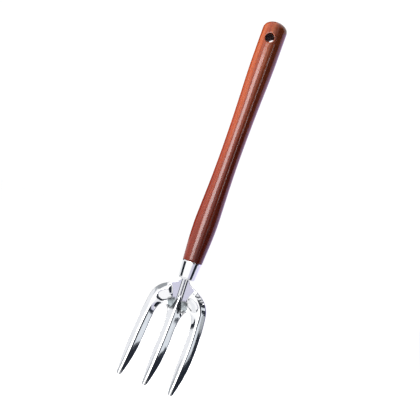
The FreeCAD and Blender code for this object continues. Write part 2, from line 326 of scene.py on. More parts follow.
# ---------------------------------------------------------------- fork head: pressed shape

def crest_line():
    """The crest of the right tine, carried up round the shoulder to the head's middle."""
    crest_x = OUTER_X - TINE_HALF
    points, heading = [(crest_x, HEAD_LENGTH + CREST_OVERRUN), (crest_x, TAPER_START)], 0.0
    for radius, angle in SHOULDER_ARCS:
        found, heading = arc_points(points[-1], heading, radius - TINE_HALF, angle, CREST_STEP)
        points += found
    points.append(run(points[-1], heading, points[-1][0] / math.sin(math.radians(heading))))
    return np.array(points)


CREST = crest_line()


def crest_distance(x, t):
    """Distance from the crest line of an outer tine, and whether a point lies inside it."""
    best = np.full(x.shape, np.inf)
    inner = np.zeros(x.shape)
    for a, b in zip(CREST, CREST[1:]):
        step = b - a
        share = ((x - a[0]) * step[0] + (t - a[1]) * step[1]) / (step @ step)
        share = np.clip(share, 0.0, 1.0)
        distance = np.hypot(x - a[0] - share * step[0], t - a[1] - share * step[1])
        cross = step[0] * (t - a[1]) - step[1] * (x - a[0])
        nearer = distance < best
        best = np.where(nearer, distance, best)
        inner = np.where(nearer, cross < 0, inner)
    return best, inner


def bend(t, start):
    """Distance run since a bend, with the bend itself eased."""
    past = t - start
    return 0.5 * (past + np.hypot(past, CRANK_EASE))


def side_profile(t):
    """Front of the sheet at its edges: the web slopes back, and the tines sweep forward."""
    slope = (BACKSET - NECK_FRONT) / (CRANK_END - CRANK_START)
    crank = NECK_FRONT + slope * (bend(t, CRANK_START) - bend(t, CRANK_END))
    drop = np.maximum(t - CRANK_END, 0.0)
    return crank - (SWEEP_RADIUS - np.sqrt(SWEEP_RADIUS ** 2 - drop ** 2))


def ridge(distance, height, half_width, rounding):
    """Height of a rounded ridge at a distance from its crest, and below zero past its foot."""
    scale = height / (np.hypot(half_width, rounding) - rounding)
    return height - scale * (np.hypot(distance, rounding) - rounding)


def soft_max(a, b):
    """The larger of two heights, with the valley between them rounded."""
    return 0.5 * (a + b + np.sqrt((a - b) ** 2 + 4 * VALLEY ** 2)) - VALLEY


def risen_share(x, t):
    """Share of its full height that an outer ridge has, from none where it leaves the web."""
    dx, dt = RISE_END[0] - RISE_START[0], RISE_END[1] - RISE_START[1]
    across = ((x - RISE_START[0]) * dt - (t - RISE_START[1]) * dx) / math.hypot(dx, dt)
    return smoothstep(across, 0.0, RISE_LENGTH)


def pressed_height(x, t):
    """How far the pressed ridges and the rib stand forward of the web and the tines' edges."""
    x = np.abs(x)
    spread = smoothstep(t, *RIB_SPREAD)
    rib = ridge(x, RIB_HEIGHT + (RIDGE_HEIGHT - RIB_HEIGHT) * smoothstep(t, *RIB_RISE),
                RIB_HALF + (TINE_HALF - RIB_HALF) * spread,
                RIB_ROUND + (RIDGE_ROUND - RIB_ROUND) * spread)
    distance, inner = crest_distance(x, t)
    risen = risen_share(x, t)
    in_web = 1 - smoothstep(t, *WEB_FADE)
    roll = ridge(distance * (1 - INNER_SPREAD * inner * in_web), RIDGE_HEIGHT * risen,
                 TINE_HALF, RIDGE_ROUND)
    pressed = soft_max(rib, roll)
    web = (1 - (1 - inner) * smoothstep(distance, 0.0, CREST_FADE) * risen) * in_web
    return pressed + (soft_max(pressed, 0.0) - pressed) * web


def front_y(x, t):
    """Front of the sheet, slightly eased as pressing does."""
    total = 0.0
    for dx, x_weight in EASING:
        for dt, t_weight in EASING:
            height = side_profile(t + dt) - pressed_height(x + dx, t + dt)
            total = total + x_weight * t_weight * height
    return total


def front_normals(x, t):
    """Unit normals of the front, facing -Y, in the frame's axes."""
    dx = (front_y(x + SLOPE_STEP, t) - front_y(x - SLOPE_STEP, t)) / (2 * SLOPE_STEP)
    dt = (front_y(x, t + SLOPE_STEP) - front_y(x, t - SLOPE_STEP)) / (2 * SLOPE_STEP)
    return unit(np.stack([dx, -np.ones_like(dx), -dt], axis=1))


# ---------------------------------------------------------------- fork head: mesh

def flat_grid():
    """A triangular grid of points (x, depth) over the head's box."""
    xs = np.arange(-OUTER_X, OUTER_X, POINT_STEP)
    ts = np.arange(NECK_TOP, HEAD_LENGTH, ROW_STEP)
    grid_x, grid_t = np.meshgrid(xs, ts)
    grid_x = grid_x + (np.arange(len(ts)) % 2)[:, None] * POINT_STEP / 2
    return np.stack([grid_x.ravel(), grid_t.ravel()], axis=1)


def well_inside(grid, rim):
    """The grid's points that lie inside the rim and clear of it."""
    near = np.full(len(grid), np.inf)
    inside = np.zeros(len(grid), dtype=bool)
    for a, b in zip(rim, np.roll(rim, -1, axis=0)):
        step = b - a
        share = np.clip(((grid - a) @ step) / (step @ step + TINY), 0, 1)
        near = np.minimum(near, np.hypot(*(grid - a - share[:, None] * step).T))
        crosses = (a[1] > grid[:, 1]) != (b[1] > grid[:, 1])
        height = step[1] if abs(step[1]) > TINY else TINY
        inside ^= crosses & (grid[:, 0] < a[0] + (grid[:, 1] - a[1]) / height * step[0])
    return grid[inside & (near > RIM_CLEARANCE)]


def flat_triangles(rim):
    """Points and triangles that fill the flat of the sheet inside its rim, rim points first."""
    coords = [Vector(p) for p in np.vstack([rim, well_inside(flat_grid(), rim)])]
    edges = [(i, (i + 1) % len(rim)) for i in range(len(rim))]
    found = delaunay_2d_cdt(coords, edges, [], 1, MERGE_DISTANCE)
    flat = np.array([tuple(p) for p in found[0]])
    triangles = []
    for a, b, c in found[2]:
        (ax, at), (bx, bt), (cx, ct) = flat[a], flat[b], flat[c]
        clockwise = (bx - ax) * (ct - at) - (bt - at) * (cx - ax) > 0
        triangles.append((a, c, b) if clockwise else (a, b, c))
    return flat, triangles


def rim_layers(rim, out, facing):
    """Points and normals of each ring round the rounded rim, from the front to the back."""
    sideways = np.stack([out[:, 0], np.zeros(len(rim)), -out[:, 1]], axis=1)
    sideways = unit(sideways - facing * np.sum(sideways * facing, axis=1)[:, None])
    angles = [math.pi / 2 * i / RIM_STEPS for i in range(1, RIM_STEPS + 1)]
    layers = []
    for angle, side in [(a, 1) for a in angles] + [(a, -1) for a in reversed(angles)]:
        place = rim + out * RIM_ROUND * math.sin(angle)
        fall = RIM_ROUND * (1 - math.cos(angle))
        y = front_y(place[:, 0], place[:, 1]) + (fall if side > 0 else STOCK - fall)
        points = np.stack([place[:, 0], y, -place[:, 1]], axis=1)
        layers.append((points, unit(side * facing * math.cos(angle) + sideways * math.sin(angle))))
    return layers


def head_mesh():
    """The pressed sheet: front and back skins from the same formula, joined by a rounded rim."""
    loop = outline(OUTLINE_STEP)
    out = outward(loop)
    rim = loop - out * RIM_ROUND
    flat, triangles = flat_triangles(rim)
    count, rim_count = len(flat), len(rim)
    x, t = flat[:, 0], flat[:, 1]
    normal = front_normals(x, t)
    front = np.stack([x, front_y(x, t), -t], axis=1)
    verts, normals = [front, front + np.array([0, STOCK, 0])], [normal, -normal]
    faces = []
    for a, b, c in triangles:
        faces += [(a, b, c), (count + a, count + c, count + b)]

    rings = [list(range(rim_count))]
    base = 2 * count
    for points, layer_normals in rim_layers(rim, out, normal[:rim_count]):
        verts.append(points)
        normals.append(layer_normals)
        rings.append(list(range(base, base + rim_count)))
        base += rim_count
    rings.append(list(range(count, count + rim_count)))
    for first, second in zip(rings, rings[1:]):
        faces += ring_faces(first, second, flip=signed_area(loop) < 0)
    points = np.vstack(verts)
    points[:, 2] += FERRULE_END / MM
    return points, faces, np.vstack(normals)


def fork_head():
    points, faces, normals = head_mesh()
    return add_mesh("fork_head_sheet", points, faces, "fork_head", normals)


# ---------------------------------------------------------------- handle

class Shell:
    """Points and faces of one closed mesh that is turned about Z, in millimetres."""

    def __init__(self):
        self.verts = []
        self.faces = []

    def add(self, x, y, z):
        self.verts.append((x, y, z))
        return len(self.verts) - 1

    def circle(self, radius, z, middle_y=0.0):
        """A ring of SIDES points, from the front round by the right."""
        return [self.add(radius * math.sin(a), middle_y - radius * math.cos(a), z)
                for a in ANGLES]

    def join(self, rings, flip=False):
        """Faces between each ring and the next."""
        for first, second in zip(rings, rings[1:]):
            self.faces += ring_faces(first, second, flip)


def spline_radius(depth):
    """Radius of the grip at a depth, on a smooth curve through its key radii."""
    depths = np.array([d for d, _ in GRIP])
    radii = np.array([r for _, r in GRIP])
    slopes = np.gradient(radii, depths)
    slopes[0] = 0.0
    i = int(np.clip(np.searchsorted(depths, depth) - 1, 0, len(depths) - 2))
    width = depths[i + 1] - depths[i]
    s = (depth - depths[i]) / width
    return (radii[i] * (2 * s ** 3 - 3 * s ** 2 + 1) + radii[i + 1] * (3 * s ** 2 - 2 * s ** 3)
            + slopes[i] * width * (s ** 3 - 2 * s ** 2 + s)
            + slopes[i + 1] * width * (s ** 3 - s ** 2))


def dome_radius(depth):
    """Radius of the rounded top: a shallow crown, then a rounded corner."""
    corner_x = HANDLE_RADIUS - CORNER_RADIUS
    crown = ((corner_x ** 2 + DOME_DEPTH ** 2 - CORNER_RADIUS ** 2)
             / (2 * (DOME_DEPTH - CORNER_RADIUS)))
    angle = math.atan2(corner_x, crown - DOME_DEPTH)
    if depth < crown * (1 - math.cos(angle)):
        return math.sqrt(max(0.0, crown ** 2 - (crown - depth) ** 2))
    return corner_x + math.sqrt(max(0.0, CORNER_RADIUS ** 2 - (DOME_DEPTH - depth) ** 2))


def handle_radius(depth):
    if depth < DOME_DEPTH:
        return dome_radius(depth)
    if depth < STRAIGHT_END:
        return HANDLE_RADIUS
    return float(spline_radius(depth))


def surface_at(x, z):
    """How far the handle's surface stands from its middle, to front or back, at (x, z)."""
    return math.sqrt(handle_radius(HANDLE_TOP - z) ** 2 - x ** 2)


def handle_depths():
    """Depths of the grid's rings: over the dome, past the hang hole, and below it."""
    patch_half = HANDLE_RADIUS * math.sin(ANGLES[PATCH]) + PATCH_MARGIN
    first, last = HANDLE_TOP - patch_half, HANDLE_TOP + patch_half
    dome = [DOME_DEPTH * (1 - math.cos(math.pi / 2 * i / DOME_STEPS))
            for i in range(1, DOME_STEPS)]
    dome = [depth for depth in dome if depth < first - RING_GAP]
    beside = [first + (last - first) * i / (2 * PATCH) for i in range(2 * PATCH + 1)]
    count = int((HANDLE_LENGTH - last) / RING_STEP)
    below = [last + (HANDLE_LENGTH - END_LENGTH - last) * i / count
             for i in range(1, count + 1)]
    return dome, beside, below


def handle_grid(shell):
    """The turned surface, open at both mouths of the hang hole. Gives its rings, and those there."""
    dome, beside, below = handle_depths()
    rows = [shell.circle(handle_radius(depth), HANDLE_TOP - depth)
            for depth in dome + beside + below]
    pole = shell.add(0, 0, HANDLE_TOP)
    shell.faces += [(pole, rows[0][i], rows[0][(i + 1) % SIDES]) for i in range(SIDES)]
    first, last = len(dome), len(dome) + 2 * PATCH
    open_sides = {(middle + k) % SIDES for middle in (0, SIDES // 2) for k in range(-PATCH, PATCH)}
    for j in range(len(rows) - 1):
        for i in range(SIDES):
            if first <= j < last and i in open_sides:
                continue
            k = (i + 1) % SIDES
            shell.faces.append((rows[j][i], rows[j + 1][i], rows[j + 1][k], rows[j][k]))
    return rows, rows[first:last + 1]


def patch_border(rows, front):
    """The points round one patch, clockwise as seen from the front, from its upper left."""
    middle = 0 if front else SIDES // 2
    columns = [(middle + k) % SIDES for k in range(-PATCH, PATCH + 1)]
    if not front:
        columns = columns[::-1]
    border = [rows[0][c] for c in columns]
    border += [row[columns[-1]] for row in rows[1:]]
    border += [rows[-1][c] for c in reversed(columns[:-1])]
    border += [row[columns[0]] for row in reversed(rows[1:-1])]
    return border


def patch_rings(shell, border, sign):
    """Rings on the handle's surface, from a patch's border in to the hole's mouth."""
    mouth = HOLE_RADIUS + HOLE_MOUTH
    rings = []
    for step in range(1, PATCH_STEPS + 1):
        share = 1 - (1 - step / PATCH_STEPS) ** PATCH_EASE
        ring = []
        for x, _, z in [shell.verts[v] for v in border]:
            angle = math.atan2(z, x)
            px, pz = between((x, z), (mouth * math.cos(angle), mouth * math.sin(angle)), share)
            ring.append(shell.add(px, sign * surface_at(px, pz), pz))
        rings.append(ring)
    return rings


def mouth_rings(shell, border, sign):
    """Rings over the hole's rounded mouth and into its wall, on a quadratic curve."""
    mouth = HOLE_RADIUS + HOLE_MOUTH
    rings = []
    for step in range(1, MOUTH_STEPS + 1):
        s = step / MOUTH_STEPS
        start, middle, end = (1 - s) ** 2, 2 * s * (1 - s), s * s
        ring = []
        for x, _, z in [shell.verts[v] for v in border]:
            angle = math.atan2(z, x)
            across, up = math.cos(angle), math.sin(angle)
            outer = surface_at(mouth * across, mouth * up)
            inner = surface_at(HOLE_RADIUS * across, HOLE_RADIUS * up)
            radius = mouth * start + HOLE_RADIUS * (middle + end)
            depth = outer * start + inner * middle + (inner - MOUTH_REACH) * end
            ring.append(shell.add(radius * across, sign * depth, radius * up))
        rings.append(ring)
    return rings


def hang_hole(shell, rows):
    """The hole's two mouths and its wall. Gives the numbers of the wall's faces."""
    ends = []
    for front, sign in ((True, -1), (False, 1)):
        border = patch_border(rows, front)
        rings = patch_rings(shell, border, sign) + mouth_rings(shell, border, sign)
        shell.join([border] + rings, flip=front)
        ends.append(rings[-1])
    wall_from = len(shell.faces)
    lines = [[shell.add(*between(shell.verts[a], shell.verts[b], share)) for a, b in zip(*ends)]
             for share in WALL_SHARES]
    shell.join([ends[0]] + lines + [ends[1]], flip=True)
    return range(wall_from, len(shell.faces))


def spigot_and_bore(shell, last_ring):
    """The handle's end against the ferrule, the spigot inside it, and the tang's bore."""
    end = HANDLE_TOP - HANDLE_LENGTH
    low = end - SPIGOT_LENGTH
    end_radius = handle_radius(HANDLE_LENGTH)
    upper = FERRULE_TOP_RADIUS - FERRULE_WALL - SPIGOT_GAP
    slope = (FERRULE_BOTTOM_RADIUS - FERRULE_TOP_RADIUS) / FERRULE_LENGTH
    lower = upper + slope * SPIGOT_LENGTH
    profile = [(end_radius - inward, end + height) for inward, height in END_ROUND]
    profile += [(upper, end), (upper, end - SPIGOT_CHAMFER), (lower, low + SPIGOT_CHAMFER),
                (lower - SPIGOT_CHAMFER, low)]
    rings = [last_ring] + [shell.circle(radius, z) for radius, z in profile]
    bore_top = TANG_TOP / MM + BORE_GAP
    rings += [shell.circle(BORE_RADIUS, z, BORE_OFFSET) for z in (low, bore_top)]
    shell.join(rings, flip=True)
    cap = shell.add(0, BORE_OFFSET, bore_top)
    shell.faces += [(cap, rings[-1][(i + 1) % SIDES], rings[-1][i]) for i in range(SIDES)]


def handle():
    """The handle in its lacquer, with the wall of its hang hole left raw and painted dark as the
    shade inside the hole.
    """
    shell = Shell()
    rows, rows_at_hole = handle_grid(shell)
    wall = hang_hole(shell, rows_at_hole)
    spigot_and_bore(shell, rows[-1])
    piece = add_mesh("handle_wood", shell.verts, shell.faces, "handle")
    wear(piece, lacquered_wood(), raw_wall_painted_shade())
    for index in wall:
        piece.data.polygons[index].material_index = 1


# ---------------------------------------------------------------- ferrule

def arc(centre, radius, start, end, count):
    """Points of an arc in the (radius, z) plane, angles in degrees from the radius axis."""
    angles = [math.radians(start + (end - start) * i / count) for i in range(count + 1)]
    return [(centre[0] + radius * math.cos(a), centre[1] + radius * math.sin(a)) for a in angles]


def ferrule():
    """The drawn cup: outer wall, rounded edge, lip of the opening, inner wall and upper rim."""
    low, top = FERRULE_END / MM, FERRULE_TOP / MM
    slope = (FERRULE_TOP_RADIUS - FERRULE_BOTTOM_RADIUS) / FERRULE_LENGTH

    def outer(z):
        return FERRULE_BOTTOM_RADIUS + (z - low) * slope

    edge_z = low + FERRULE_EDGE
    edge = (outer(edge_z) - FERRULE_EDGE * math.hypot(1, slope), edge_z)
    edge_side = -math.degrees(math.atan(slope)) - EDGE_GAP
    lip_x, lip_side = FERRULE_OPENING + FERRULE_LIP, 90 + LIP_GAP
    profile = [(outer(z), z)
               for z in np.linspace(top - RIM_DROP, low + FERRULE_EDGE * OUTER_STOP, OUTER_POINTS)]
    profile += arc(edge, FERRULE_EDGE, edge_side, -90, EDGE_STEPS)
    profile += arc((lip_x, low + FERRULE_LIP), FERRULE_LIP, -lip_side, -180, LIP_STEPS)
    profile += arc((lip_x, low + FERRULE_WALL - FERRULE_LIP), FERRULE_LIP, 180, lip_side,
                   LIP_STEPS)
    profile += arc(edge, FERRULE_EDGE - FERRULE_WALL, -90, edge_side, INNER_EDGE_STEPS)
    profile += [(outer(z) - FERRULE_WALL, z)
                for z in np.linspace(low + FERRULE_EDGE * INNER_STOP, top, INNER_POINTS)]
    profile += [(outer(top) - inward, top - drop) for inward, drop in RIM]
    shell = Shell()
    rings = [shell.circle(radius, z) for radius, z in profile]
    shell.join(rings + rings[:1], flip=True)
    return add_mesh("ferrule_cup", shell.verts, shell.faces, "ferrule")


# ---------------------------------------------------------------- materials

# Colours, or grey levels, at positions along a noise, a height or a mask
WOOD_BODY = [(0.28, (0.28, 0.032, 0.012)), (0.45, (0.42, 0.064, 0.022)),
             (0.60, (0.54, 0.100, 0.034)), (0.80, (0.64, 0.14, 0.050))]
WOOD_SHADE = [(0.30, (0.80, 0.62, 0.58)), (0.62, 1.0)]
# Painted shade along the handle's height, darker and redder towards the ferrule
WOOD_PAINTED_SHADE = [(0.0, (0.66, 0.48, 0.54)), (0.20, (0.74, 0.60, 0.64)), (0.55, 1.0),
              (1.0, (1.0, 1.22, 1.0))]
WOOD_PORES = [(0.30, 0.14), (0.40, 0.0)]
# The hang hole's raw wall, painted dark as the shade inside the hole
RAW_WALL_PAINTED_SHADE = [(0.3, (0.045, 0.012, 0.008)), (0.7, (0.13, 0.04, 0.024))]
STEEL_TINT = [(0.3, (0.86, 0.87, 0.89)), (0.7, (0.93, 0.93, 0.94))]
STEEL_GLOSS = [(0.3, 0.045), (0.75, 0.085)]
HOLLOW_FADE = [(0.08, 0.0), (0.22, 1.0)]
EDGE_FADE = [(0.60, 1.0), (0.74, 0.0)]
ROD_TINT = [(0.3, (0.36, 0.36, 0.37)), (0.7, (0.52, 0.52, 0.53))]
ROD_GLOSS = [(0.3, 0.30), (0.7, 0.42)]
WELD_TINT = [(0.3, (0.30, 0.28, 0.26)), (0.7, (0.46, 0.45, 0.44))]
WELD_GLOSS = [(0.3, 0.32), (0.7, 0.50)]

# Single colours, and roughnesses as greys
PORE_COLOUR = (0.10, 0.012, 0.008)
# Painted dark reflection for the hollows beside the rib, with its roughness
HOLLOW_PAINTED_REFLECTION, HOLLOW_GLOSS = (0.09, 0.10, 0.105), (0.28, 0.28, 0.28)
# Painted shade for the head's cut edges, with their roughness
EDGE_PAINTED_SHADE, EDGE_GLOSS = (0.22, 0.23, 0.25), (0.30, 0.30, 0.30)


def new_material(name):
    material = bpy.data.materials.new(name)
    material.use_nodes = True
    return material, material.node_tree, material.node_tree.nodes["Principled BSDF"]


def put(made, **values):
    """Set a node's own settings, and its sockets, whose names have _ for each space."""
    for key, value in values.items():
        if hasattr(made, key):
            setattr(made, key, value)
        else:
            made.inputs[key.replace("_", " ")].default_value = value
    return made


def node(tree, kind, **values):
    return put(tree.nodes.new("ShaderNode" + kind), **values)


def object_place(tree, output="Object"):
    """Where a point is on the object, or with "Normal" which way it faces, in the frame's axes."""
    return node(tree, "TexCoord").outputs[output]


def part_of(tree, vector, axis):
    """One coordinate of a vector."""
    split = node(tree, "SeparateXYZ")
    tree.links.new(vector, split.inputs["Vector"])
    return split.outputs[axis]


def math_of(tree, operation, value, limit=None):
    """The result of one maths step on a value."""
    made = node(tree, "Math", operation=operation)
    tree.links.new(value, made.inputs[0])
    if limit is not None:
        made.inputs[1].default_value = limit
    return made.outputs["Value"]


def stretched_noise(tree, stretch, scale, detail=3.0, roughness=0.5, distortion=0.0):
    """Noise in object space, drawn out along an axis by a small factor for it."""
    mapping = node(tree, "Mapping", Scale=stretch)
    noise = node(tree, "TexNoise", Scale=scale, Detail=detail, Roughness=roughness,
                 Distortion=distortion)
    tree.links.new(object_place(tree), mapping.inputs["Vector"])
    tree.links.new(mapping.outputs["Vector"], noise.inputs["Vector"])
    return noise.outputs["Fac"]


def ramp(tree, source, stops):
    """Colours, or grey levels as plain numbers, at positions along a source from 0 to 1."""
    made = node(tree, "ValToRGB")
    elements = made.color_ramp.elements
    while len(elements) < len(stops):
        elements.new(0.5)
    for element, (position, colour) in zip(elements, stops):
        rgb = colour if isinstance(colour, tuple) else (colour,) * 3
        element.position = position
        element.color = (*rgb, 1.0)
    tree.links.new(source, made.inputs["Fac"])
    return made.outputs["Color"]


def mix(tree, blend, factor, a, b):
    """A mixed with B, each a socket or a colour, by a number or a mask."""
    made = node(tree, "Mix", data_type="RGBA", blend_type=blend)
    colour_a, colour_b, result = made.inputs[6], made.inputs[7], made.outputs[2]
    if isinstance(factor, float):
        made.inputs["Factor"].default_value = factor
    else:
        tree.links.new(factor, made.inputs["Factor"])
    for socket, value in ((colour_a, a), (colour_b, b)):
        if isinstance(value, tuple):
            socket.default_value = (*value, 1.0)
        else:
            tree.links.new(value, socket)
    return result


def bump(tree, shader, height, strength, distance):
    made = node(tree, "Bump", Strength=strength, Distance=distance)
    tree.links.new(height, made.inputs["Height"])
    tree.links.new(made.outputs["Normal"], shader.inputs["Normal"])


def wood_painted_shade(tree):
    """Painted shade, darker and redder towards the ferrule, and more orange at the top."""
    up = node(tree, "MapRange", From_Min=FERRULE_TOP, From_Max=WOOD_TOP)
    tree.links.new(part_of(tree, object_place(tree), "Z"), up.inputs["Value"])
    return ramp(tree, up.outputs["Result"], WOOD_PAINTED_SHADE)


def lacquered_wood():
    """Reddish hardwood: long dark streaks, fine pores along the grain, under clear lacquer."""
    material, tree, shader = new_material("lacquered_wood")
    streaks = stretched_noise(tree, (1.0, 1.0, 0.035), scale=150.0, detail=4.0, roughness=0.6,
                              distortion=0.6)
    broad = stretched_noise(tree, (1.0, 1.0, 0.12), scale=38.0, detail=2.0, roughness=0.5,
                            distortion=0.3)
    pores = stretched_noise(tree, (1.0, 1.0, 0.03), scale=900.0, detail=2.0, roughness=0.6)
    colour = mix(tree, "MULTIPLY", 1.0, ramp(tree, streaks, WOOD_BODY),
                 ramp(tree, broad, WOOD_SHADE))
    # Painted shade: darker and redder towards the ferrule
    colour = mix(tree, "MULTIPLY", 1.0, colour, wood_painted_shade(tree))
    colour = mix(tree, "MIX", ramp(tree, pores, WOOD_PORES), colour, PORE_COLOUR)
    tree.links.new(colour, shader.inputs["Base Color"])
    put(shader, Roughness=0.5, Specular_IOR_Level=0.0)
    put(shader, Coat_Weight=1.0, Coat_Roughness=0.14, Coat_IOR=1.5)
    bump(tree, shader, pores, strength=0.03, distance=0.0002)
    return material


def raw_wall_painted_shade():
    """The unlacquered wall of the hang hole: dull, with drilling rings, and painted darker as the
    shade inside the hole.
    """
    material, tree, shader = new_material("raw_wall_painted_shade")
    rings = stretched_noise(tree, (0.15, 1.0, 0.15), scale=900.0, detail=3.0, roughness=0.6)
    tree.links.new(ramp(tree, rings, RAW_WALL_PAINTED_SHADE), shader.inputs["Base Color"])
    put(shader, Roughness=0.85, Specular_IOR_Level=0.1)
    bump(tree, shader, rings, strength=0.2, distance=0.0002)
    return material


def hollow_painted_reflection_mask(tree):
    """Blotches in the front's two hollows beside the rib: rougher steel with a painted dark
    reflection.
    """
    fold = node(tree, "VectorMath", operation="ABSOLUTE")
    size = HOLLOW_SIZE * MM
    place = (-HOLLOW_X / HOLLOW_SIZE, 0.0, (FERRULE_END - HOLLOW_DEPTH * MM) / size)
    spot = node(tree, "Mapping", vector_type="POINT", Scale=(1 / size, 0.0, 1 / size),
                Location=place)
    fade = node(tree, "TexGradient", gradient_type="SPHERICAL")
    tree.links.new(object_place(tree), fold.inputs[0])
    tree.links.new(fold.outputs["Vector"], spot.inputs["Vector"])
    tree.links.new(spot.outputs["Vector"], fade.inputs["Vector"])
    blotch = stretched_noise(tree, (1.0, 0.3, 0.6), scale=260.0, detail=2.0, roughness=0.55,
                             distortion=0.8)
    front = math_of(tree, "LESS_THAN", part_of(tree, object_place(tree, "Normal"), "Y"), 0.0)
    patchy = mix(tree, "MULTIPLY", 1.0, fade.outputs["Color"], blotch)
    patchy = mix(tree, "MULTIPLY", 1.0, patchy, front)
    return ramp(tree, patchy, HOLLOW_FADE)


def edge_painted_shade_mask(tree):
    """The head's cut edges: ground and not polished, rougher, and darkened with painted shade."""
    below = math_of(tree, "LESS_THAN", part_of(tree, object_place(tree), "Z"), FERRULE_END)
    flatness = math_of(tree, "ABSOLUTE", part_of(tree, object_place(tree, "Normal"), "Y"))
    return mix(tree, "MULTIPLY", 1.0, ramp(tree, flatness, EDGE_FADE), below)


def polished_steel():
    """Mirror-polished stainless steel, with polishing haze, rougher hollows with a painted dark
    reflection, and ground edges darkened with painted shade.
    """
    material, tree, shader = new_material("polished_steel")
    haze = stretched_noise(tree, (1.0, 1.0, 1.0), scale=60.0, detail=3.0, roughness=0.55)
    tint, gloss = ramp(tree, haze, STEEL_TINT), ramp(tree, haze, STEEL_GLOSS)
    # Painted dark reflection in the hollows and painted shade on the cut edges, each on rougher
    # steel
    for mask, painted_dark_tint, dull_gloss in ((hollow_painted_reflection_mask(tree), HOLLOW_PAINTED_REFLECTION, HOLLOW_GLOSS),
                                        (edge_painted_shade_mask(tree), EDGE_PAINTED_SHADE, EDGE_GLOSS)):
        tint = mix(tree, "MIX", mask, tint, painted_dark_tint)
        gloss = mix(tree, "MIX", mask, gloss, dull_gloss)
    tree.links.new(tint, shader.inputs["Base Color"])
    tree.links.new(gloss, shader.inputs["Roughness"])
    put(shader, Metallic=1.0)
    wave = stretched_noise(tree, (1.0, 1.0, 0.5), scale=45.0, detail=1.0, roughness=0.4)
    bump(tree, shader, wave, strength=0.10, distance=0.0006)
    return material


def bare_metal(name, stretch, scale, tints, glosses, strength, distance):
    """A metal whose tint, gloss and relief all follow one noise."""
    material, tree, shader = new_material(name)
    noise = stretched_noise(tree, stretch, scale, roughness=0.6)
    tree.links.new(ramp(tree, noise, tints), shader.inputs["Base Color"])
    tree.links.new(ramp(tree, noise, glosses), shader.inputs["Roughness"])
    put(shader, Metallic=1.0)
    bump(tree, shader, noise, strength, distance)
    return material


def bare_steel():
    """Drawn rod, with fine lines along its length."""
    return bare_metal("bare_steel", (1.0, 1.0, 0.05), 700.0, ROD_TINT, ROD_GLOSS,
                      strength=0.15, distance=0.0001)


def weld_metal():
    """A cleaned weld bead, grainy and a little warm."""
    return bare_metal("weld_metal", (1.0, 1.0, 1.0), 500.0, WELD_TINT, WELD_GLOSS,
                      strength=0.3, distance=0.0002)


def wear(piece, *materials):
    """Give a piece these materials in place of any that it has."""
    piece.data.materials.clear()
    for material in materials:
        piece.data.materials.append(material)


# ---------------------------------------------------------------- studio

CENTRE = Vector((0.0, 0.0, WOOD_TOP - 0.2394))
VIEW_AZIMUTH = 12.5
VIEW_DISTANCE = 0.85
VIEW_ROLL = 19.67
VIEW_WIDTH = 0.5055
VIEW_OFFSET = 0.00094
SENSOR_WIDTH = 36.0

SCREEN_ROWS = 8
SCREEN_COLUMN_WIDTH = 3
LIGHT_DISTANCE = 1.25
FLOOR_RADIUS = 6.0
FLOOR_DROP = 0.16
FLOOR_SIDES = 96
WORLD_STRENGTH = 1.05

WHITE, PALE, GREY = (1.0, 1.0, 1.0), (0.97, 0.98, 1.0), (0.9, 0.95, 1.0)
LAVENDER, PURPLE = (0.84, 0.83, 1.0), (0.66, 0.60, 1.0)
NIGHT = (0.55, 0.70, 1.0)

